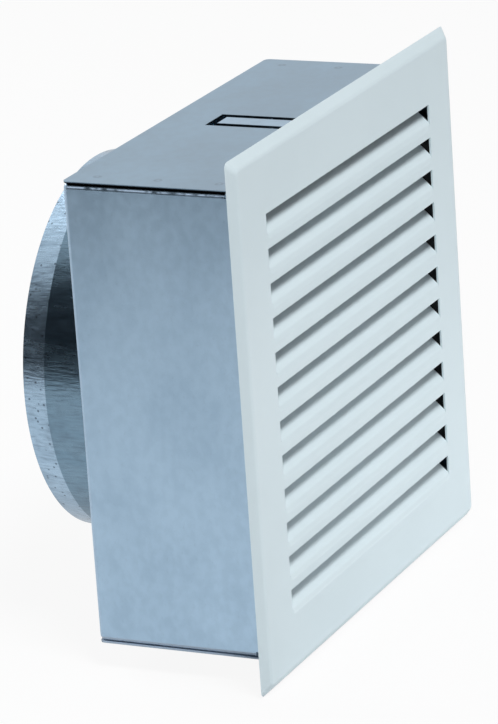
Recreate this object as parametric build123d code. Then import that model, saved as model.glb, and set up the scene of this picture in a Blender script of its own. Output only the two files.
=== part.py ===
"""Supply air outlet: a louvred wall grille on a shallow sheet-steel box with a round duct spigot.

Millimetres. X runs to the right seen from the room, Y runs into the wall, Z is up.
The origin lies on the spigot's axis, in the plane of the finished wall that the grille's rim meets.
"""
import os
from math import cos, radians, sin

from build123d import *

# Grille plate
PLATE_WIDTH = 220.0
PLATE_HEIGHT = 220.0
PLATE_SHEET = 0.8
PLATE_CORNER = 2.5          # corner radius of the plate at the wall
RIM_BEVEL = 3.8             # width of the slanted rim, seen from the front
RIM_DEPTH = 3.4             # how far the plate's face stands in front of the wall
RIM_BEND = 2.5              # outer radius of the bend from the face into the rim
GRILLE_RISE = 1.9           # height of the plate's centre above the spigot's axis

# Louvres pressed out of the plate
LOUVRE_COUNT = 12
LOUVRE_PITCH = 14.2
LOUVRE_INSET = 14.25        # from the outside of the box's sides in to the louvres' ends
TOP_MARGIN = 27.5           # from the plate's top edge down to the first lip
LOUVRE_CUT = 8.7            # height of the side cuts, from the lip down to the start of the bend
SLAT_RISE = 43.0            # slope of a slat above the horizontal, in degrees
SLAT_BEND = 1.8             # outer radius of the bend from the plate into the slat
SLAT_REACH = 11.0           # how far a slat's tip lies behind the plate's face
SLAT_SIDE_GAP = 0.25        # sheared gap at each end of a slat

# Box
BOX_WIDTH = 194.5
BOX_HEIGHT = 194.2
BOX_DEPTH = 77.5            # from the wall plane to the outside of the back
BOX_SHEET = 0.7
FOLD_RADIUS = 2.4           # outer radius of every fold of the box
SEAT_GAP = 0.3              # between the box's front edges and the plate
COVER_SETBACK = 0.1         # the covers' cut edges stand this far in from the shell's faces
SIDE_FLANGE = 15.0          # width of the flanges along the top and bottom of the shell's sides
REAR_FLANGE = 10.0          # width of the flanges along the top and bottom of the shell's back
FLANGE_SETBACK = 9.5        # the side flanges start this far behind the box's front edge
FLANGE_RELIEF = 5.0         # square hole in the flanges at each rear corner

# Wall-anchor tongues punched in the top and bottom of the box
TONGUE_WIDTH = 9.5
TONGUE_LENGTH = 41.0
TONGUE_ROOT = 12.0          # bend line of the tongue, behind the wall plane
TONGUE_SLOT = 3.8           # width of the punched slot round the tongue

# Duct spigot
SPIGOT_DIAMETER = 160.0
SPIGOT_LENGTH = 34.7        # from the back of the box to the free end
SPIGOT_SHEET = 0.8
LEAD_LENGTH = 10.2          # narrowed band at the free end
LEAD_DIAMETER = 158.0
SPIGOT_MARGIN = 3.0         # between the rim of the flange inside the box and the box's nearest wall
SPIGOT_FOLD = 1.6           # outer radius of the bend from the tube into the flange
SPIGOT_CLEARANCE = 0.4      # between that bend and the hole in the back

# Leaf springs that hold the grille in the box
CARRIER_LENGTH = 150.0
CARRIER_DEPTH = 28.0        # from the back of the plate to the rear edge of the carrier
CARRIER_SHEET = 1.0
CARRIER_FOLD = 1.6          # outer radius of the carrier's fold
CARRIER_MARGIN = 1.2        # between the louvres' ends and the carrier's foot
SPRING_SPACING = 100.0      # between the centres of the two springs on one carrier
SPRING_WIDTH = 12.0
SPRING_SHEET = 0.6
SPRING_ROOM = 5.0           # between the carrier and the box's side wall
SPRING_CLEARANCE = 0.3      # between a spring's crest and the box's side wall
SPRING_FOOT = 8.0           # flat length under the rivets
SPRING_FRONT = 5.0          # from the back of the plate to the foot's front edge
SPRING_CREST = 9.0          # from the foot to the crest, along the carrier
SPRING_BEND = 3.0           # bend radius on the spring's centre line
SPRING_TAIL = 1.2           # from the carrier to the centre line at the spring's free end
RIVET_DIAMETER = 2.8
RIVET_HEAD = 4.8
RIVET_HEIGHT = 1.0
RIVET_ROUNDING = 0.8        # radius of the rounded rim of a rivet's head
RIVET_SPACING = 6.0
RIVET_CLEARANCE = 0.05      # round the rivet's shank

# Places that several pieces share
FACE_Y = -RIM_DEPTH
PLATE_BACK_Y = FACE_Y + PLATE_SHEET
BOX_FRONT_Y = PLATE_BACK_Y + SEAT_GAP
SIDE_INNER_X = BOX_WIDTH / 2 - BOX_SHEET
LOUVRE_LENGTH = BOX_WIDTH - 2 * LOUVRE_INSET
CARRIER_X = SIDE_INNER_X - SPRING_ROOM
SPIGOT_RADIUS = SPIGOT_DIAMETER / 2
FIRST_LIP_Z = GRILLE_RISE + PLATE_HEIGHT / 2 - TOP_MARGIN
OVERCUT = 5.0               # how far a cutting tool runs past the sheet


def sided(shape, side):
    """The shape as modelled, or for a side of -1 its mirror image across the middle of the outlet."""
    if side < 0:
        return mirror(shape, about=Plane.YZ)
    return shape


def face_plane(y):
    """Plane parallel to the wall at depth y, centred on the plate, looking towards the room."""
    return Plane(origin=(0, y, GRILLE_RISE), x_dir=(1, 0, 0), z_dir=(0, -1, 0))


def rim_block(front_y, front_inset, rear_inset, bend):
    """Shallow frustum between the wall plane and front_y, with its front edge rounded."""
    rear = face_plane(0) * RectangleRounded(
        PLATE_WIDTH - 2 * rear_inset, PLATE_HEIGHT - 2 * rear_inset, PLATE_CORNER
    )
    front = face_plane(front_y) * RectangleRounded(
        PLATE_WIDTH - 2 * front_inset, PLATE_HEIGHT - 2 * front_inset, PLATE_CORNER
    )
    block = loft([rear.face(), front.face()], ruled=True)
    front_edges = block.faces().sort_by(Axis.Y)[0].edges()
    return fillet(front_edges, bend)


def rimmed_plate():
    """The plate with its slanted rim, before the louvres are cut: a frustum less its own inside."""
    rim_slope = (RIM_BEVEL**2 + RIM_DEPTH**2) ** 0.5
    sheet_across_rim = PLATE_SHEET * rim_slope / RIM_DEPTH
    front_inset = RIM_BEVEL - RIM_BEVEL * PLATE_SHEET / RIM_DEPTH + sheet_across_rim
    outside = rim_block(FACE_Y, RIM_BEVEL, 0, RIM_BEND)
    inside = rim_block(PLATE_BACK_Y, front_inset, sheet_across_rim, RIM_BEND - PLATE_SHEET)
    return outside - inside


def slat(bend_z):
    """One slat, from the start of its bend at bend_z: an arc inwards, then a straight rise to its tip."""
    turn = 90 - SLAT_RISE
    centre = (FACE_Y + SLAT_BEND, bend_z)
    inner_radius = SLAT_BEND - PLATE_SHEET
    run = (cos(radians(SLAT_RISE)), sin(radians(SLAT_RISE)))
    outer_arc = CenterArc(centre, SLAT_BEND, 180, -turn)
    inner_arc = CenterArc(centre, inner_radius, 180, -turn)
    straight = (FACE_Y + SLAT_REACH - (outer_arc @ 1).X) / run[0]
    outer_tip = (outer_arc @ 1) + Vector(*run) * straight
    inner_tip = (inner_arc @ 1) + Vector(*run) * straight
    outline = [
        outer_arc,
        Line(outer_arc @ 1, outer_tip),
        Line(outer_tip, inner_tip),
        Line(inner_tip, inner_arc @ 1),
        inner_arc,
        Line(inner_arc @ 0, outer_arc @ 0),
    ]
    length = LOUVRE_LENGTH - 2 * SLAT_SIDE_GAP
    section = Plane.YZ.offset(-length / 2) * make_face(outline)
    return extrude(section, length)


def front_grille():
    """Plate with its louvres: a slot under each lip, and a slat rising inwards from each slot's lower edge."""
    plate = rimmed_plate()
    for number in range(LOUVRE_COUNT):
        lip_z = FIRST_LIP_Z - number * LOUVRE_PITCH
        slot = Box(LOUVRE_LENGTH, PLATE_SHEET + 2 * OVERCUT, LOUVRE_CUT)
        plate -= Pos(0, FACE_Y, lip_z - LOUVRE_CUT / 2) * slot
    for number in range(LOUVRE_COUNT):
        plate += slat(FIRST_LIP_Z - number * LOUVRE_PITCH - LOUVRE_CUT)
    return plate


def box_shell():
    """Sheet bent round the left side, the back and the right side, with flanges turned in above and below."""
    top_z = BOX_HEIGHT / 2 - BOX_SHEET
    depth = BOX_DEPTH - BOX_FRONT_Y
    block = Pos(0, BOX_FRONT_Y + depth / 2, 0) * Box(BOX_WIDTH, depth, 2 * top_z)
    front = block.faces().sort_by(Axis.Y)[0]
    block = fillet(block.edges() - front.edges(), FOLD_RADIUS)
    shell = offset(block, -BOX_SHEET, openings=block.faces().sort_by(Axis.Y)[:1])
    height = BOX_HEIGHT + 2 * OVERCUT
    between_flanges = Box(
        BOX_WIDTH - 2 * SIDE_FLANGE, depth, height, align=(Align.CENTER, Align.MAX, Align.CENTER)
    )
    shell -= Pos(0, BOX_DEPTH - REAR_FLANGE, 0) * between_flanges
    relief_x = BOX_WIDTH / 2 - FOLD_RADIUS - FLANGE_RELIEF / 2
    relief_y = BOX_DEPTH - FOLD_RADIUS - FLANGE_RELIEF / 2
    for z in (top_z, -top_z):
        front_cut = Box(BOX_WIDTH + 2 * OVERCUT, 2 * FLANGE_SETBACK, 2 * FOLD_RADIUS)
        shell -= Pos(0, BOX_FRONT_Y, z) * front_cut
        for x in (relief_x, -relief_x):
            shell -= Pos(x, relief_y, z) * Box(FLANGE_RELIEF, FLANGE_RELIEF, 2 * FOLD_RADIUS)
    return shell - spigot_hole()


def spigot_hole():
    """Cutter for the round hole in the back that the spigot passes through."""
    hole_radius = SPIGOT_RADIUS + SPIGOT_FOLD + SPIGOT_CLEARANCE
    return Pos(0, BOX_DEPTH, 0) * Rot(90, 0, 0) * Cylinder(hole_radius, 2 * OVERCUT)


def tongue_slot():
    """U-shaped cutter that leaves a tongue rooted at the front and pointing to the rear."""
    slot_width = TONGUE_WIDTH + 2 * TONGUE_SLOT
    slot_length = TONGUE_LENGTH + TONGUE_SLOT
    height = BOX_SHEET + 2 * OVERCUT
    around = Box(slot_width, slot_length, height, align=(Align.CENTER, Align.MIN, Align.CENTER))
    tongue = Box(TONGUE_WIDTH, TONGUE_LENGTH, height, align=(Align.CENTER, Align.MIN, Align.CENTER))
    return Pos(0, TONGUE_ROOT, 0) * (around - tongue)


def cover(side):
    """Flat sheet on the shell's flanges, with a punched tongue: side is 1 for the top and -1 for the bottom."""
    width = BOX_WIDTH - 2 * COVER_SETBACK
    depth = BOX_DEPTH - COVER_SETBACK - BOX_FRONT_Y
    sheet = Pos(0, BOX_FRONT_Y + depth / 2, 0) * Box(width, depth, BOX_SHEET)
    rear_corners = sheet.edges().filter_by(Axis.Z).group_by(Axis.Y)[-1]
    sheet = fillet(rear_corners, FOLD_RADIUS)
    return Pos(0, 0, side * (BOX_HEIGHT - BOX_SHEET) / 2) * (sheet - tongue_slot())


def duct_spigot():
    """Rolled collar with a flange inside the box and a narrowed band at its free end, turned about Y."""
    flange_y = BOX_DEPTH - BOX_SHEET
    end_y = BOX_DEPTH + SPIGOT_LENGTH
    lead_y = end_y - LEAD_LENGTH
    lead_radius = LEAD_DIAMETER / 2
    fold_inner = SPIGOT_FOLD - SPIGOT_SHEET
    flange_radius = min(BOX_WIDTH, BOX_HEIGHT) / 2 - 2 * BOX_SHEET - SPIGOT_MARGIN
    inner = SPIGOT_RADIUS - SPIGOT_SHEET
    lead_inner = lead_radius - SPIGOT_SHEET
    fold_centre = (SPIGOT_RADIUS + fold_inner, flange_y + fold_inner)
    outside_fold = CenterArc(fold_centre, fold_inner, 270, -90)
    inside_fold = CenterArc(fold_centre, SPIGOT_FOLD, 270, -90)
    outline = [
        Polyline(outside_fold @ 1, (SPIGOT_RADIUS, lead_y), (lead_radius, end_y), (lead_inner, end_y),
                 (inner, lead_y), inside_fold @ 1),
        inside_fold,
        Polyline(inside_fold @ 0, (flange_radius, flange_y - SPIGOT_SHEET), (flange_radius, flange_y),
                 outside_fold @ 0),
        outside_fold,
    ]
    return revolve(Plane.XY * make_face(outline), Axis.Y)


def spring_carrier(side):
    """Folded angle behind one margin of the plate: a foot on the plate and a leg into the box."""
    foot_width = CARRIER_X - LOUVRE_LENGTH / 2 - CARRIER_MARGIN
    corner = (CARRIER_X, PLATE_BACK_Y)
    rear_y = PLATE_BACK_Y + CARRIER_DEPTH
    outline = Polyline(
        (CARRIER_X - foot_width, PLATE_BACK_Y),
        corner,
        (CARRIER_X, rear_y),
        (CARRIER_X - CARRIER_SHEET, rear_y),
        (CARRIER_X - CARRIER_SHEET, PLATE_BACK_Y + CARRIER_SHEET),
        (CARRIER_X - foot_width, PLATE_BACK_Y + CARRIER_SHEET),
        close=True,
    )
    section = make_face(outline)
    outer_corner = section.vertices().sort_by_distance((*corner, 0))[0]
    inner_corner = section.vertices().sort_by_distance(
        (CARRIER_X - CARRIER_SHEET, PLATE_BACK_Y + CARRIER_SHEET, 0)
    )[0]
    section = fillet(outer_corner, CARRIER_FOLD)
    inner_corner = section.vertices().sort_by_distance(Vector(*inner_corner))[0]
    section = fillet(inner_corner, CARRIER_FOLD - CARRIER_SHEET)
    carrier = Pos(0, 0, GRILLE_RISE - CARRIER_LENGTH / 2) * extrude(section, CARRIER_LENGTH)
    for place in rivet_places():
        hole = Cylinder(RIVET_DIAMETER / 2 + RIVET_CLEARANCE, 2 * OVERCUT)
        carrier -= place * hole
    return sided(carrier, side)


def spring_heights():
    """Heights of the springs' centres on a carrier, the upper one first."""
    return (GRILLE_RISE + SPRING_SPACING / 2, GRILLE_RISE - SPRING_SPACING / 2)


def rivet_places():
    """Places of the rivets on the right carrier's outer face, with their axes along X."""
    rivet_y = PLATE_BACK_Y + SPRING_FRONT + SPRING_FOOT / 2
    places = []
    for height in spring_heights():
        for shift in (RIVET_SPACING / 2, -RIVET_SPACING / 2):
            places.append(Pos(CARRIER_X, rivet_y, height + shift) * Rot(0, 90, 0))
    return places


def leaf_spring(height, side):
    """Strip with a flat foot on the carrier, bowed out towards the box's wall and back to the carrier."""
    middle = SPRING_SHEET / 2
    front_y = PLATE_BACK_Y + SPRING_FRONT
    foot_end_y = front_y + SPRING_FOOT
    crest_y = foot_end_y + SPRING_CREST
    tail_y = crest_y + SPRING_CREST
    crest_x = CARRIER_X + SPRING_ROOM - SPRING_CLEARANCE - middle
    route = FilletPolyline(
        (CARRIER_X + middle, front_y),
        (CARRIER_X + middle, foot_end_y),
        (crest_x, crest_y),
        (CARRIER_X + SPRING_TAIL, tail_y),
        radius=SPRING_BEND,
    )
    strip = extrude(trace(route, SPRING_SHEET), SPRING_WIDTH)
    strip = Pos(0, 0, height - SPRING_WIDTH / 2) * strip
    for place in rivet_places():
        strip -= place * Cylinder(RIVET_DIAMETER / 2 + RIVET_CLEARANCE, 2 * OVERCUT)
    return sided(strip, side)


def rivet_head():
    """Low domed head standing on the XY plane."""
    head = Cylinder(RIVET_HEAD / 2, RIVET_HEIGHT, align=(Align.CENTER, Align.CENTER, Align.MIN))
    return fillet(head.faces().sort_by(Axis.Z)[-1].edges(), RIVET_ROUNDING)


def spring_rivets():
    """Eight rivets, each through a spring's foot and the carrier, with a head on both sides."""
    grip = SPRING_SHEET + CARRIER_SHEET
    shank = Pos(0, 0, SPRING_SHEET - grip / 2) * Cylinder(RIVET_DIAMETER / 2, grip)
    outer_head = Pos(0, 0, SPRING_SHEET) * rivet_head()
    inner_head = Pos(0, 0, -CARRIER_SHEET) * Rot(180, 0, 0) * rivet_head()
    rivet = shank + outer_head + inner_head
    rivets = [place * rivet for place in rivet_places()]
    rivets += [mirror(one, about=Plane.YZ) for one in rivets]
    return Compound(children=[one.solid() for one in rivets])


def all_pieces():
    """Every node's name with its shape."""
    pieces = {
        "front_grille": front_grille(),
        "box_shell": box_shell(),
        "top_cover": cover(1),
        "bottom_cover": cover(-1),
        "duct_spigot": duct_spigot(),
        "spring_rivets": spring_rivets(),
    }
    for word, side in (("left", -1), ("right", 1)):
        pieces[f"{word}_spring_carrier"] = spring_carrier(side)
        for level, height in zip(("upper", "lower"), spring_heights()):
            pieces[f"{level}_{word}_spring"] = leaf_spring(height, side)
    return pieces


os.makedirs("parts", exist_ok=True)
for name, shape in all_pieces().items():
    export_step(shape, f"parts/{name}.step")
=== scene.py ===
"""Looks of the supply air outlet: powder-coated grille, galvanised box, rolled spigot, light and camera.

Metres, in the outlet's own frame: X to the right seen from the room, Y into the wall, Z up.
"""
import math

import bpy
import numpy as np
from mathutils import Matrix, Vector


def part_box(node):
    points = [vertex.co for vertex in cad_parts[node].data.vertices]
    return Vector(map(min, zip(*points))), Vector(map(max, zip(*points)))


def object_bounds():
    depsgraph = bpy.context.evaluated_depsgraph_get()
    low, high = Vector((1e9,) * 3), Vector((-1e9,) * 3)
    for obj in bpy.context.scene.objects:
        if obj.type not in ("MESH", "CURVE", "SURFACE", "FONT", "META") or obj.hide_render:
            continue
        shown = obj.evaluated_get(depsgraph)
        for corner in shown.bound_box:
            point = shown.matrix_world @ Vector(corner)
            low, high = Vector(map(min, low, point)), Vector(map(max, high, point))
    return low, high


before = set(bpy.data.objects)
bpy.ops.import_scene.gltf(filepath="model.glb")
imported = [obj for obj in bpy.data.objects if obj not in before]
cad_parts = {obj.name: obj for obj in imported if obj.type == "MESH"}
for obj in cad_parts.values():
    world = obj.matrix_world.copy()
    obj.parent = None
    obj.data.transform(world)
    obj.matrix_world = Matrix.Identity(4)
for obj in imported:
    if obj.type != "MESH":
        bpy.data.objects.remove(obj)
CAD_LOW, CAD_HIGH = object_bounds()

# The photograph's frame and the view that it was taken from
PHOTO_HEIGHT = 724
FOCAL_PIXELS = 4381.7
CAMERA_PLACE = (-1.5586, -0.7064, 0.5517)
VIEW_AZIMUTH = -64.158
VIEW_ELEVATION = 17.87
VIEW_ROLL = -3.995
SENSOR_HEIGHT = 36.0         # in millimetres, as a Blender camera takes it

# Colours, as linear red, green and blue
COAT_WHITE = (0.73, 0.85, 0.90, 1.0)
COAT_SHADE = (0.71, 0.83, 0.88, 1.0)
# painted shade: the carriers' black stands for the shade inside the box
CARRIER_SHADE_BLACK = (0.02, 0.022, 0.026, 1.0)
COAT_DUST = (0.045, 0.048, 0.052, 1.0)
ZINC_LIGHT = (0.44, 0.605, 0.765, 1.0)
ZINC_DARK = (0.345, 0.485, 0.625, 1.0)
# painted shade: darker zinc mixed into the covers and into the spigot's straight band
ZINC_SHADE_PAINT = (0.067, 0.15, 0.21, 1.0)
ZINC_SPECK = (0.10, 0.14, 0.19, 1.0)
BLACK = (0.0, 0.0, 0.0, 1.0)
# painted shade in the upper seams
SEAM_SHADE = (0.012, 0.014, 0.018, 1.0)
# painted highlight on the shell's folds
FOLD_HIGHLIGHT = (0.58, 0.74, 0.95, 1.0)
# painted light from the floor on the lower seams
SEAM_FLOOR_LIGHT = (0.48, 0.60, 0.74, 1.0)
SPRING_STEEL = (0.34, 0.37, 0.41, 1.0)
SPRING_LINE = (0.26, 0.29, 0.33, 1.0)
FLOOR_WHITE = (0.78, 0.79, 0.80, 1.0)
BACKDROP_NAVY = (0.004, 0.009, 0.016, 1.0)
WHITE = (1.0, 1.0, 1.0, 1.0)

# Places of the sheet work that the finishes follow
PLATE_TOP = CAD_HIGH[2]
COVER_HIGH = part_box("top_cover")[1]
COVER_HALF = COVER_HIGH[0]
COVER_TOP = COVER_HIGH[2]
SHELL_HALF, BACK_FACE, SHELL_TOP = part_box("box_shell")[1]
SPIGOT_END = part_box("duct_spigot")[1][1]
FOLD_RADIUS = 0.0024

# White and black coats, and the strip of sheet that each slat's bend draws in
TOP_MARGIN = 0.0275          # from the plate's top to the uppermost louvre's lip
LOUVRE_PITCH = 0.0142
LOUVRE_COUNT = 12
LOUVRE_INSET = 0.01425       # from the box's side to the louvres' ends
DRAW_START = 0.0072          # below each lip
DRAW_END = 0.0112
DRAW_DEPTH = 0.0016
DRAW_FADE = 0.003            # before the louvres' ends
TONE_SCALE = 14.0
PEEL_SCALE = 900.0
WHITE_PEEL_DEPTH = 0.00004
BLACK_PEEL_DEPTH = 0.00003
DUST_SCALE = 120.0

# Galvanised sheet
PATCH_SCALE = 28.0
PATCH_SHARE = 0.55           # of the clouds; the mottling has the rest
MOTTLE_SCALE = 260.0
MOTTLE_DEPTH = 0.00003
SPECK_SCALE = 700.0
SPECK_STRENGTH = 0.06
SHEET_ROUGHNESS = 0.28
CLOUD_ROUGHNESS = 0.08       # added where the clouds are light
SHELL_STRETCH = (1.0, 1.0, 0.8)
COVER_STRETCH = (0.8, 1.0, 1.0)
INSIDE_START = 0.0002        # below the outer face, where the inside's painted shade begins
INSIDE_FULL = 0.0005
# share of black painted into the box's inside as shade
INSIDE_SHADE = 0.6
# painted shade on the covers, for the dimmer sky they reflect, and hardly any on the tongues
COVER_SHADE = 0.36
TONGUE_SHADE = 0.05

# Seams and folds, each measured inwards from the nearest outer face
SHADE_START = 0.0013         # painted shade in the upper seam, rising to its full strength
SHADE_FULL = 0.0009
SHADE_FADE = 0.0030          # before the back, where the upper seam's painted shade fades out
SHADE_END = 0.0015
HIGHLIGHT_LOW = 0.0019            # painted highlight along the upper folds
HIGHLIGHT_HIGH = 0.0013
REAR_FRONT = 0.0018          # fainter painted highlight along the rear folds
REAR_BACK = 0.0012
REAR_INNER = 0.0015
REAR_HIGHLIGHT = 0.4
HIGHLIGHT_SOFT = 0.0002
HIGHLIGHT_SCALE = 300.0
LOWER_START = 0.0022         # painted floor light on the lower folds
LOWER_FULL = 0.0016
LIP_WIDTH = 0.003            # painted floor light on the lower cover's side margin
EDGE_START = 0.00025         # painted shade on the upper cover's edge, below its face
EDGE_FULL = 0.0004

# The covers' tongues and spot welds
TONGUE_HALF = 0.00485
TONGUE_ROOT = 0.012
TONGUE_END = 0.055
TONGUE_SOFT = 0.001
WELD_INSET = 0.0088          # from the covers' side edges to the row of spot welds
WELD_FIRST = 0.013           # depth of the first weld behind the wall plane
WELD_SPACING = 0.0265
WELD_RADIUS = 0.0022
WELD_RIM = 0.0012            # width of the dull ring
WELD_SOFT = 0.0008
WELD_WOBBLE = 0.0016
WELD_SCALE = 260.0
WELD_STRENGTH = 0.35
WELD_DEPTH = 0.00006

# Spigot
LEAD_LENGTH = 0.0102         # narrowed band at the free end
LEAD_SOFT = 0.0002
# painted shade on the spigot's straight band, which shows a darker reflection than the end band
BAND_SHADE = 0.6
SPIGOT_STRETCH = (1.0, 0.16, 1.0)
SPIGOT_PATCH_SCALE = 150.0
SPIGOT_MOTTLE_SCALE = 900.0
SPIGOT_MOTTLE_DEPTH = 0.00005
SPIGOT_ROUGHNESS = 0.22
STREAK_SCALE = 950.0
STREAK_STRENGTH = 0.36
BLOTCH_SCALE = 110.0
BLOTCH_STRENGTH = 0.25
PIT_SCALE = 300.0            # cells in a metre, with one pit in each
PIT_SIZE = 0.20              # radius of a pit, as a share of its cell
PIT_STRENGTH = 0.85

# Spring strip and rivets
STRIP_STRETCH = (1.0, 0.05, 1.0)
STRIP_SCALE = 1500.0
STRIP_DEPTH = 0.00002
SPRING_ROUGHNESS = 0.3
RIVET_ROUGHNESS = 0.4

# Noise values at which a mask begins and is full
EVEN_RANGE = (0.3, 0.7)
PATCH_RANGE = (0.35, 0.65)
SPECK_RANGE = (0.66, 0.74)
HIGHLIGHT_RANGE = (0.3, 0.6)
DUST_RANGE = (0.45, 0.75)
STREAK_RANGE = (0.42, 0.75)
BLOTCH_RANGE = (0.5, 0.72)

# Stage and light
FLOOR_GAP = 0.0004
FLOOR_HALF = 1.4
FLOOR_GLOW = 0.92            # share of plain white in what the camera sees of the floor
MIRROR_GLOW = 0.65           # and in what reflections show of it
MIRROR_SKY = 0.80            # world's strength in what reflections show of it
DIFFUSE_LEVEL = 0.10         # world's strength for the light that falls on the object
DEEP_LEVEL = 0.05            # strength of world and floor after a second mirror bounce, as inside the box
FLOOR_FIRST_BOUNCE = 1       # ray depth at which a surface is met after one bounce
WORLD_FIRST_BOUNCE = 2       # and the world, which counts its own lookup as one more
STAGE_ROUGHNESS = 0.9
BACKDROP_TURN = 31.5         # direction of the dark backdrop, in degrees from -X towards +Y
BACKDROP_AWAY = 0.85
BACKDROP_WIDTH = 0.62
BACKDROP_HEIGHT = 1.30

# Lamps: name, place, width, height, power in watts, and the point aimed at
LAMPS = (
    ("key", (-0.80, -1.10, 2.50), 0.90, 0.90, 62.0, (0, 0, 0)),
    ("low_fill", (0.08, -0.22, -0.095), 0.40, 0.04, 0.17, (0, 0, -0.095)),
    ("rear_fill", (0.40, 1.20, 0.80), 0.60, 0.60, 7.0, (0, 0, 0)),
)

# Places of a Mix node's colour sockets, which share their names with its other sockets
MIX_FACTOR = 0
MIX_FIRST = 6
MIX_SECOND = 7
MIX_RESULT = 2


# Node helpers

def new_group(name, inputs, outputs):
    """An empty shader node group with named sockets: pairs of a socket's name and its type."""
    group = bpy.data.node_groups.new(name, "ShaderNodeTree")
    for label, kind in inputs:
        group.interface.new_socket(name=label, in_out="INPUT", socket_type=kind)
    for label, kind in outputs:
        group.interface.new_socket(name=label, in_out="OUTPUT", socket_type=kind)
    entry = group.nodes.new("NodeGroupInput")
    leave = group.nodes.new("NodeGroupOutput")
    return group, entry, leave


def feed(tree, socket, operand):
    """Sets an input socket to a number or a colour, or links an output socket to it."""
    if isinstance(operand, (int, float, tuple)):
        socket.default_value = operand
    else:
        tree.links.new(operand, socket)


def add_math(tree, operation, first, second=0.0, third=0.0):
    """A Math node; each operand is a number or an output socket. Gives its output socket."""
    node = tree.nodes.new("ShaderNodeMath")
    node.operation = operation
    for socket, operand in zip(node.inputs, (first, second, third)):
        feed(tree, socket, operand)
    return node.outputs[0]


def add_ramp(tree, value, low, high):
    """A smooth step of a value, from 0 at low to 1 at high; high may be the smaller number."""
    node = tree.nodes.new("ShaderNodeMapRange")
    node.interpolation_type = "SMOOTHSTEP"
    node.inputs["From Min"].default_value = low
    node.inputs["From Max"].default_value = high
    tree.links.new(value, node.inputs["Value"])
    return node.outputs["Result"]


def add_band(tree, value, low, high, soft):
    """1 where a value lies between low and high, with soft ends."""
    start = add_ramp(tree, value, low - soft, low + soft)
    end = add_ramp(tree, value, high + soft, high - soft)
    return add_math(tree, "MULTIPLY", start, end)


def add_noise(tree, vector, scale, detail=3.0):
    """A noise of a vector; the scale is a number or a socket. Gives its value socket."""
    node = tree.nodes.new("ShaderNodeTexNoise")
    feed(tree, node.inputs["Scale"], scale)
    node.inputs["Detail"].default_value = detail
    tree.links.new(vector, node.inputs["Vector"])
    return node.outputs["Fac"]


def add_stretch(tree, vector, stretch):
    """A vector scaled by a factor for each axis."""
    node = tree.nodes.new("ShaderNodeMapping")
    node.inputs["Scale"].default_value = stretch
    tree.links.new(vector, node.inputs["Vector"])
    return node.outputs["Vector"]


def add_mix(tree, factor, first, second):
    """A colour mix; each colour is a tuple or a socket, and the factor a number or a socket."""
    node = tree.nodes.new("ShaderNodeMix")
    node.data_type = "RGBA"
    feed(tree, node.inputs[MIX_FACTOR], factor)
    feed(tree, node.inputs[MIX_FIRST], first)
    feed(tree, node.inputs[MIX_SECOND], second)
    return node.outputs[MIX_RESULT]


def add_split(tree, vector):
    """The three components of a vector."""
    node = tree.nodes.new("ShaderNodeSeparateXYZ")
    tree.links.new(vector, node.inputs["Vector"])
    return node.outputs["X"], node.outputs["Y"], node.outputs["Z"]


def add_length(tree, components):
    """The length of a vector of three components."""
    vector = tree.nodes.new("ShaderNodeCombineXYZ")
    for socket, operand in zip(vector.inputs, components):
        feed(tree, socket, operand)
    node = tree.nodes.new("ShaderNodeVectorMath")
    node.operation = "LENGTH"
    tree.links.new(vector.outputs["Vector"], node.inputs[0])
    return node.outputs["Value"]


def object_coordinates(tree):
    """The piece's own coordinates, in metres."""
    return tree.nodes.new("ShaderNodeTexCoord").outputs["Object"]


def add_group(tree, group, vector, values):
    """A placed node group fed with a vector, with its own values on the named inputs."""
    node = tree.nodes.new("ShaderNodeGroup")
    node.node_tree = group
    tree.links.new(vector, node.inputs["Vector"])
    for label, value in values.items():
        node.inputs[label].default_value = value
    return node


def add_bump(tree, height, distance, strength, under=None):
    """A bump from a height socket, over another normal if one is given; gives the normal socket."""
    node = tree.nodes.new("ShaderNodeBump")
    node.inputs["Distance"].default_value = distance
    feed(tree, node.inputs["Strength"], strength)
    tree.links.new(height, node.inputs["Height"])
    if under is not None:
        tree.links.new(under, node.inputs["Normal"])
    return node.outputs["Normal"]


def new_material(name, metallic, roughness, specular=0.5):
    """A material with one Principled BSDF; gives the material, its tree and the shader."""
    material = bpy.data.materials.new(name)
    material.use_nodes = True
    shader = material.node_tree.nodes["Principled BSDF"]
    shader.inputs["Metallic"].default_value = metallic
    shader.inputs["Roughness"].default_value = roughness
    shader.inputs["Specular IOR Level"].default_value = specular
    return material, material.node_tree, shader


# Effects that several finishes share

def make_zinc_clouds():
    """Zinc coating: its colour from broad patches, finer mottling and dark specks, and its unevenness."""
    settings = ("Patch Scale", "Mottle Scale", "Speck Scale", "Speck Strength")
    masks = ("Clouds", "Mottle")
    group, entry, leave = new_group(
        "zinc_clouds",
        [("Vector", "NodeSocketVector")] + [(label, "NodeSocketFloat") for label in settings],
        [("Color", "NodeSocketColor")] + [(label, "NodeSocketFloat") for label in masks],
    )
    vector = entry.outputs["Vector"]
    broad = add_noise(group, vector, entry.outputs["Patch Scale"], detail=2.0)
    fine = add_noise(group, vector, entry.outputs["Mottle Scale"], detail=4.0)
    sharp = add_noise(group, vector, entry.outputs["Speck Scale"], detail=1.0)
    patches = add_ramp(group, broad, *PATCH_RANGE)
    mottle = add_ramp(group, fine, *EVEN_RANGE)
    specks = add_ramp(group, sharp, *SPECK_RANGE)
    mottle_part = add_math(group, "MULTIPLY", mottle, 1.0 - PATCH_SHARE)
    clouds = add_math(group, "MULTIPLY_ADD", patches, PATCH_SHARE, mottle_part)
    colour = add_mix(group, clouds, ZINC_DARK, ZINC_LIGHT)
    fleck = add_math(group, "MULTIPLY", specks, entry.outputs["Speck Strength"])
    group.links.new(add_mix(group, fleck, colour, ZINC_SPECK), leave.inputs["Color"])
    group.links.new(clouds, leave.inputs["Clouds"])
    group.links.new(mottle, leave.inputs["Mottle"])
    return group


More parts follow.
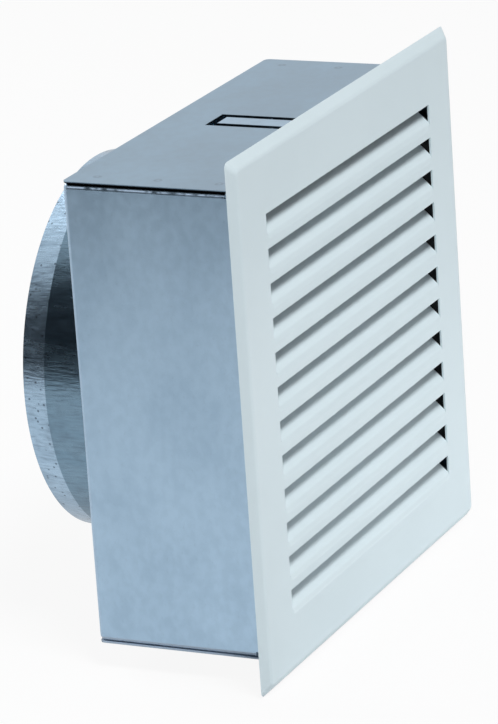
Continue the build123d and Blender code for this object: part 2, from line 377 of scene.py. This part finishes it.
ZINC_CLOUDS = make_zinc_clouds()


def cloudy_roughness(tree, shader, clouds, roughness):
    """Gives a shader a roughness that rises a little where the zinc's clouds are light."""
    rough = add_math(tree, "MULTIPLY_ADD", clouds.outputs["Clouds"], CLOUD_ROUGHNESS, roughness)
    tree.links.new(rough, shader.inputs["Roughness"])


# Finishes

def coat_finish():
    """White powder coat: fine orange peel, a faintly uneven tone, and sheet drawn in below each slat."""
    material, tree, shader = new_material("white_coat", metallic=0.0, roughness=0.45, specular=0.4)
    place = object_coordinates(tree)
    tone = add_ramp(tree, add_noise(tree, place, TONE_SCALE), *EVEN_RANGE)
    tree.links.new(add_mix(tree, tone, COAT_WHITE, COAT_SHADE), shader.inputs["Base Color"])
    peel = add_noise(tree, place, PEEL_SCALE, detail=2.0)
    skin = add_bump(tree, peel, WHITE_PEEL_DEPTH, strength=0.5)
    x, y, z = add_split(tree, place)
    below = add_math(tree, "SUBTRACT", PLATE_TOP - TOP_MARGIN, z)
    under_lip = add_math(tree, "FLOORED_MODULO", below, LOUVRE_PITCH)
    rise = add_ramp(tree, under_lip, DRAW_START, DRAW_END)
    louvre_half = SHELL_HALF - LOUVRE_INSET
    ends = add_ramp(tree, add_math(tree, "ABSOLUTE", x), louvre_half, louvre_half - DRAW_FADE)
    half_height = LOUVRE_COUNT * LOUVRE_PITCH / 2
    rows = add_math(tree, "COMPARE", below, half_height, half_height)
    strength = add_math(tree, "MULTIPLY", ends, rows)
    tree.links.new(add_bump(tree, rise, DRAW_DEPTH, strength, skin), shader.inputs["Normal"])
    return material


def zinc_sheet(name, stretch):
    """Galvanised sheet: patches and mottling stretched along the rolling direction. Gives its parts."""
    material, tree, shader = new_material(name, metallic=1.0, roughness=SHEET_ROUGHNESS)
    place = object_coordinates(tree)
    clouds = add_group(tree, ZINC_CLOUDS, add_stretch(tree, place, stretch),
                       {"Patch Scale": PATCH_SCALE, "Mottle Scale": MOTTLE_SCALE,
                        "Speck Scale": SPECK_SCALE, "Speck Strength": SPECK_STRENGTH})
    cloudy_roughness(tree, shader, clouds, SHEET_ROUGHNESS)
    normal = add_bump(tree, clouds.outputs["Mottle"], MOTTLE_DEPTH, strength=0.4)
    tree.links.new(normal, shader.inputs["Normal"])
    return material, tree, shader, place, clouds.outputs["Color"], normal


def paint_inside_shade(tree, place, colour, top):
    """The colour as it is on the box's outside and its folds, and darkened inside the box as painted shade.

    The reach is the distance beyond a box that is smaller by the folds' radius on every side.
    """
    x, y, z = add_split(tree, place)
    beyond = (add_math(tree, "SUBTRACT", add_math(tree, "ABSOLUTE", x), SHELL_HALF - FOLD_RADIUS),
              add_math(tree, "SUBTRACT", y, BACK_FACE - FOLD_RADIUS),
              add_math(tree, "SUBTRACT", add_math(tree, "ABSOLUTE", z), top - FOLD_RADIUS))
    reach = add_length(tree, [add_math(tree, "MAXIMUM", part, 0.0) for part in beyond])
    # painted shade: the zinc inside the box is mixed towards black
    inside = add_ramp(tree, reach, FOLD_RADIUS - INSIDE_START, FOLD_RADIUS - INSIDE_FULL)
    return add_mix(tree, add_math(tree, "MULTIPLY", inside, INSIDE_SHADE), colour, BLACK)


def painted_fold_highlights(tree, place):
    """Mask of the painted, patchy highlights along the shell's upper folds and, fainter, its rear folds."""
    x, y, z = add_split(tree, place)
    upper = add_band(tree, z, SHELL_TOP - HIGHLIGHT_LOW, SHELL_TOP - HIGHLIGHT_HIGH, HIGHLIGHT_SOFT)
    across = add_band(tree, y, BACK_FACE - REAR_FRONT, BACK_FACE - REAR_BACK, HIGHLIGHT_SOFT)
    beside = add_math(tree, "GREATER_THAN", add_math(tree, "ABSOLUTE", x), SHELL_HALF - REAR_INNER)
    rear = add_math(tree, "MULTIPLY", add_math(tree, "MULTIPLY", across, beside), REAR_HIGHLIGHT)
    patchy = add_ramp(tree, add_noise(tree, place, HIGHLIGHT_SCALE), *HIGHLIGHT_RANGE)
    return add_math(tree, "MULTIPLY", add_math(tree, "MAXIMUM", upper, rear), patchy)


def shell_finish():
    """Galvanised sides and back, with painted highlights on the folds, painted light at the lower seam and
    painted shade in the upper one.
    """
    material, tree, shader, place, colour, normal = zinc_sheet("galvanised_shell", SHELL_STRETCH)
    x, y, z = add_split(tree, place)
    colour = paint_inside_shade(tree, place, colour, SHELL_TOP)
    highlight = painted_fold_highlights(tree, place)
    # painted highlight on the folds, with the metal turned off there
    colour = add_mix(tree, highlight, colour, FOLD_HIGHLIGHT)
    # painted light: the shell's lower fold is paled as if lit from the floor, with the metal turned off there
    lower = add_ramp(tree, z, LOWER_START - SHELL_TOP, LOWER_FULL - SHELL_TOP)
    colour = add_mix(tree, lower, colour, SEAM_FLOOR_LIGHT)
    sheen = add_math(tree, "SUBTRACT", 1.0, add_math(tree, "MAXIMUM", highlight, lower))
    tree.links.new(sheen, shader.inputs["Metallic"])
    # painted shade: the shell's upper seam is darkened where shade falls in it
    seam = add_ramp(tree, z, SHELL_TOP - SHADE_START, SHELL_TOP - SHADE_FULL)
    before_corner = add_ramp(tree, y, BACK_FACE - SHADE_END, BACK_FACE - SHADE_FADE)
    seam_shade = add_math(tree, "MULTIPLY", seam, before_corner)
    tree.links.new(add_mix(tree, seam_shade, colour, SEAM_SHADE), shader.inputs["Base Color"])
    return material


def weld_marks(tree, place):
    """Masks of the spot welds' discs and of their cores, by the distance to the nearest weld's middle."""
    x, y, z = add_split(tree, place)
    across = add_math(tree, "SUBTRACT", add_math(tree, "ABSOLUTE", x), COVER_HALF - WELD_INSET)
    behind_first = add_math(tree, "SUBTRACT", y, WELD_FIRST)
    number = add_math(tree, "ROUND", add_math(tree, "DIVIDE", behind_first, WELD_SPACING))
    along = add_math(tree, "SUBTRACT", behind_first, add_math(tree, "MULTIPLY", number, WELD_SPACING))
    away = add_length(tree, (across, along, 0.0))
    away = add_math(tree, "MULTIPLY_ADD", add_noise(tree, place, WELD_SCALE), WELD_WOBBLE, away)
    core_radius = WELD_RADIUS - WELD_RIM
    disc = add_math(tree, "SUBTRACT", 1.0, add_ramp(tree, away, WELD_RADIUS, WELD_RADIUS + WELD_SOFT))
    core = add_math(tree, "SUBTRACT", 1.0, add_ramp(tree, away, core_radius, core_radius + WELD_SOFT))
    return disc, core


def cover_finish():
    """Galvanised covers: painted shade over the sheet and hardly any on the tongue, painted shade on the
    upper edge, painted floor light on the lower side margins, and rows of spot welds.
    """
    material, tree, shader, place, colour, normal = zinc_sheet("galvanised_cover", COVER_STRETCH)
    x, y, z = add_split(tree, place)
    from_middle = add_math(tree, "ABSOLUTE", x)
    tongue_width = add_math(tree, "LESS_THAN", from_middle, TONGUE_HALF)
    tongue_length = add_band(tree, y, TONGUE_ROOT, TONGUE_END, TONGUE_SOFT)
    tongue = add_math(tree, "MULTIPLY", tongue_width, tongue_length)
    # painted shade: the covers' zinc is darkened, the tongue hardly at all
    shade_share = add_math(tree, "MULTIPLY_ADD", tongue, TONGUE_SHADE - COVER_SHADE, COVER_SHADE)
    colour = add_mix(tree, shade_share, colour, ZINC_SHADE_PAINT)
    colour = paint_inside_shade(tree, place, colour, COVER_TOP)
    # painted shade on the upper cover's edge, in its seam
    edge = add_ramp(tree, z, COVER_TOP - EDGE_START, COVER_TOP - EDGE_FULL)
    upper = add_math(tree, "GREATER_THAN", z, 0.0)
    colour = add_mix(tree, add_math(tree, "MULTIPLY", edge, upper), colour, SEAM_SHADE)
    # painted light: the lower cover's side margins are paled as if lit from the floor
    margin = add_math(tree, "GREATER_THAN", from_middle, SHELL_HALF - LIP_WIDTH)
    lip = add_math(tree, "MULTIPLY", margin, add_math(tree, "LESS_THAN", z, 0.0))
    colour = add_mix(tree, lip, colour, SEAM_FLOOR_LIGHT)
    tree.links.new(add_math(tree, "SUBTRACT", 1.0, lip), shader.inputs["Metallic"])
    disc, core = weld_marks(tree, place)
    ring = add_math(tree, "MULTIPLY", add_math(tree, "SUBTRACT", disc, core), WELD_STRENGTH)
    tree.links.new(add_mix(tree, ring, colour, ZINC_SPECK), shader.inputs["Base Color"])
    pressed = add_bump(tree, core, WELD_DEPTH, strength=0.5, under=normal)
    tree.links.new(pressed, shader.inputs["Normal"])
    return material


def carrier_finish():
    """Matt black on the spring carriers, painted shade for the dark inside the box seen past the louvres'
    ends, with a little pale dust.
    """
    material, tree, shader = new_material("black_coat", metallic=0.0, roughness=0.6, specular=0.2)
    place = object_coordinates(tree)
    dust = add_ramp(tree, add_noise(tree, place, DUST_SCALE), *DUST_RANGE)
    # painted shade: near-black carriers, with pale dust
    tree.links.new(add_mix(tree, dust, CARRIER_SHADE_BLACK, COAT_DUST), shader.inputs["Base Color"])
    peel = add_noise(tree, place, PEEL_SCALE, detail=2.0)
    tree.links.new(add_bump(tree, peel, BLACK_PEEL_DEPTH, strength=0.5), shader.inputs["Normal"])
    return material


def spigot_finish():
    """Rolled collar: fine streaks along the tube, blotches, painted shade on the straight band for the darker
    reflection it shows, and a pitted end band.
    """
    material, tree, shader = new_material("spigot_sheet", metallic=1.0, roughness=SPIGOT_ROUGHNESS)
    place = object_coordinates(tree)
    y = add_split(tree, place)[1]
    streaked = add_stretch(tree, place, SPIGOT_STRETCH)
    clouds = add_group(tree, ZINC_CLOUDS, streaked,
                       {"Patch Scale": SPIGOT_PATCH_SCALE, "Mottle Scale": SPIGOT_MOTTLE_SCALE,
                        "Speck Scale": 0.0, "Speck Strength": 0.0})
    lead_start = SPIGOT_END - LEAD_LENGTH
    lead = add_ramp(tree, y, lead_start - LEAD_SOFT, lead_start + LEAD_SOFT)
    # painted shade: the straight band is darkened and the end band is not
    shade_share = add_math(tree, "MULTIPLY_ADD", lead, -BAND_SHADE, BAND_SHADE)
    colour = add_mix(tree, shade_share, clouds.outputs["Color"], ZINC_SHADE_PAINT)
    streaks = add_ramp(tree, add_noise(tree, streaked, STREAK_SCALE), *STREAK_RANGE)
    colour = add_mix(tree, add_math(tree, "MULTIPLY", streaks, STREAK_STRENGTH), colour, ZINC_SPECK)
    blotches = add_ramp(tree, add_noise(tree, place, BLOTCH_SCALE, detail=4.0), *BLOTCH_RANGE)
    colour = add_mix(tree, add_math(tree, "MULTIPLY", blotches, BLOTCH_STRENGTH), colour, ZINC_SPECK)
    cells = tree.nodes.new("ShaderNodeTexVoronoi")
    cells.inputs["Scale"].default_value = PIT_SCALE
    tree.links.new(place, cells.inputs["Vector"])
    pits = add_ramp(tree, cells.outputs["Distance"], PIT_SIZE, PIT_SIZE / 2)
    pits = add_math(tree, "MULTIPLY", add_math(tree, "MULTIPLY", pits, lead), PIT_STRENGTH)
    tree.links.new(add_mix(tree, pits, colour, ZINC_SPECK), shader.inputs["Base Color"])
    cloudy_roughness(tree, shader, clouds, SPIGOT_ROUGHNESS)
    rolled = add_bump(tree, clouds.outputs["Mottle"], SPIGOT_MOTTLE_DEPTH, strength=0.6)
    tree.links.new(rolled, shader.inputs["Normal"])
    return material


def strip_finish(name, roughness):
    """Bright strip steel: fine rolling lines along its length."""
    material, tree, shader = new_material(name, metallic=1.0, roughness=roughness)
    place = add_stretch(tree, object_coordinates(tree), STRIP_STRETCH)
    lines = add_ramp(tree, add_noise(tree, place, STRIP_SCALE, detail=2.0), *EVEN_RANGE)
    tree.links.new(add_mix(tree, lines, SPRING_STEEL, SPRING_LINE), shader.inputs["Base Color"])
    tree.links.new(add_bump(tree, lines, STRIP_DEPTH, strength=0.4), shader.inputs["Normal"])
    return material


def dress(finish, *nodes):
    """Gives CAD nodes a finish."""
    for node in nodes:
        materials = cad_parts[node].data.materials
        materials.clear()
        materials.append(finish)


# Stage, light and camera

def flat_sheet(name, corner, along, across):
    """A flat rectangle from a corner and its two side vectors."""
    corner, along, across = np.array(corner), np.array(along), np.array(across)
    places = np.array([corner, corner + along, corner + along + across, corner + across])
    mesh = bpy.data.meshes.new(name)
    mesh.from_pydata(places.tolist(), [], [(0, 1, 2, 3)])
    sheet = bpy.data.objects.new(name, mesh)
    bpy.context.scene.collection.objects.link(sheet)
    return sheet


def first_sight(tree, first_bounce):
    """1 for camera and transmission rays and for the first mirror bounce, and 0 for other rays.

    Ray depths are whole numbers, so a depth below the next one is at most the first bounce's.
    """
    path = tree.nodes.new("ShaderNodeLightPath")
    early = add_math(tree, "LESS_THAN", path.outputs["Ray Depth"], first_bounce + 1)
    mirror = add_math(tree, "MULTIPLY", path.outputs["Is Glossy Ray"], early)
    seen = add_math(tree, "MAXIMUM", path.outputs["Is Camera Ray"], mirror)
    return add_math(tree, "MAXIMUM", seen, path.outputs["Is Transmission Ray"]), path


def lay_floor():
    """Pale floor under the plate's lower edge: mostly white to the camera, with the object's shadow."""
    level = CAD_LOW[2] - FLOOR_GAP
    side = 2 * FLOOR_HALF
    floor = flat_sheet("floor", (-FLOOR_HALF, -FLOOR_HALF, level), (side, 0, 0), (0, side, 0))
    material, tree, shader = new_material("floor_white", metallic=0.0, roughness=STAGE_ROUGHNESS)
    shader.inputs["Base Color"].default_value = FLOOR_WHITE
    glow = tree.nodes.new("ShaderNodeEmission")
    glow.inputs["Color"].default_value = WHITE
    seen, path = first_sight(tree, FLOOR_FIRST_BOUNCE)
    tree.links.new(add_math(tree, "MAXIMUM", seen, DEEP_LEVEL), glow.inputs["Strength"])
    direct = add_math(tree, "MAXIMUM", path.outputs["Is Camera Ray"], path.outputs["Is Transmission Ray"])
    mirrored = add_math(tree, "MULTIPLY", path.outputs["Is Glossy Ray"], MIRROR_GLOW)
    share = add_math(tree, "MAXIMUM", add_math(tree, "MULTIPLY", direct, FLOOR_GLOW), mirrored)
    mix = tree.nodes.new("ShaderNodeMixShader")
    tree.links.new(share, mix.inputs["Fac"])
    tree.links.new(shader.outputs["BSDF"], mix.inputs[1])
    tree.links.new(glow.outputs["Emission"], mix.inputs[2])
    tree.links.new(mix.outputs["Shader"], tree.nodes["Material Output"].inputs["Surface"])
    floor.data.materials.append(material)


def hang_backdrop():
    """Dark upright cloth off to the left behind the object, seen in reflections and not by the camera."""
    turn = math.radians(BACKDROP_TURN)
    middle = np.array([-math.cos(turn), math.sin(turn), 0]) * BACKDROP_AWAY
    sideways = np.array([math.sin(turn), math.cos(turn), 0]) * BACKDROP_WIDTH
    foot = middle - sideways / 2 + np.array([0, 0, CAD_LOW[2]])
    backdrop = flat_sheet("dark_backdrop", foot, sideways, (0, 0, BACKDROP_HEIGHT))
    backdrop.visible_camera = False
    material, tree, shader = new_material("backdrop_navy", metallic=0.0, roughness=STAGE_ROUGHNESS)
    shader.inputs["Base Color"].default_value = BACKDROP_NAVY
    backdrop.data.materials.append(material)


def light_world():
    """White to the camera, a little less in reflections, and a soft grey for the light on the object."""
    world = bpy.data.worlds.new("studio")
    bpy.context.scene.world = world
    world.use_nodes = True
    tree = world.node_tree
    sky = tree.nodes["Background"]
    sky.inputs["Color"].default_value = WHITE
    seen, path = first_sight(tree, WORLD_FIRST_BOUNCE)
    spread = add_math(tree, "MULTIPLY", path.outputs["Is Diffuse Ray"], DIFFUSE_LEVEL)
    soft = add_math(tree, "MAXIMUM", spread, DEEP_LEVEL)
    mirrored = add_math(tree, "MULTIPLY", path.outputs["Is Glossy Ray"], 1.0 - MIRROR_SKY)
    shown = add_math(tree, "SUBTRACT", seen, mirrored)
    tree.links.new(add_math(tree, "MAXIMUM", shown, soft), sky.inputs["Strength"])


def add_lamp(name, place, width, height, power, aim):
    """A soft rectangular lamp aimed at a point."""
    lamp = bpy.data.lights.new(name, "AREA")
    lamp.shape = "RECTANGLE"
    lamp.size = width
    lamp.size_y = height
    lamp.energy = power
    holder = bpy.data.objects.new(name, lamp)
    bpy.context.scene.collection.objects.link(holder)
    holder.visible_camera = False
    holder.location = place
    holder.rotation_euler = (Vector(aim) - Vector(place)).to_track_quat("-Z", "Y").to_euler()


def set_camera():
    """Camera at the photograph's place, turned by its azimuth, elevation and roll."""
    azimuth, elevation, roll = (math.radians(a) for a in (VIEW_AZIMUTH, VIEW_ELEVATION, VIEW_ROLL))
    back = Vector((math.sin(azimuth) * math.cos(elevation), -math.cos(azimuth) * math.cos(elevation),
                   math.sin(elevation)))
    level_right = Vector((math.cos(azimuth), math.sin(azimuth), 0))
    level_up = back.cross(level_right)
    right = math.cos(roll) * level_right + math.sin(roll) * level_up
    up = back.cross(right)
    camera = bpy.data.cameras.new("photo_view")
    camera.sensor_fit = "VERTICAL"
    camera.sensor_height = SENSOR_HEIGHT
    camera.lens = SENSOR_HEIGHT * FOCAL_PIXELS / PHOTO_HEIGHT
    holder = bpy.data.objects.new("photo_view", camera)
    bpy.context.scene.collection.objects.link(holder)
    turn = Matrix((right, up, back)).transposed().to_4x4()
    holder.matrix_world = Matrix.Translation(CAMERA_PLACE) @ turn
    bpy.context.scene.camera = holder


dress(coat_finish(), "front_grille")
dress(shell_finish(), "box_shell")
dress(cover_finish(), "top_cover", "bottom_cover")
dress(carrier_finish(), "left_spring_carrier", "right_spring_carrier")
dress(spigot_finish(), "duct_spigot")
dress(strip_finish("spring_strip", SPRING_ROUGHNESS),
      "upper_left_spring", "lower_left_spring", "upper_right_spring", "lower_right_spring")
dress(strip_finish("rivet_zinc", RIVET_ROUGHNESS), "spring_rivets")

lay_floor()
hang_backdrop()
light_world()
for lamp_values in LAMPS:
    add_lamp(*lamp_values)
set_camera()
bpy.context.scene.view_settings.view_transform = "Standard"
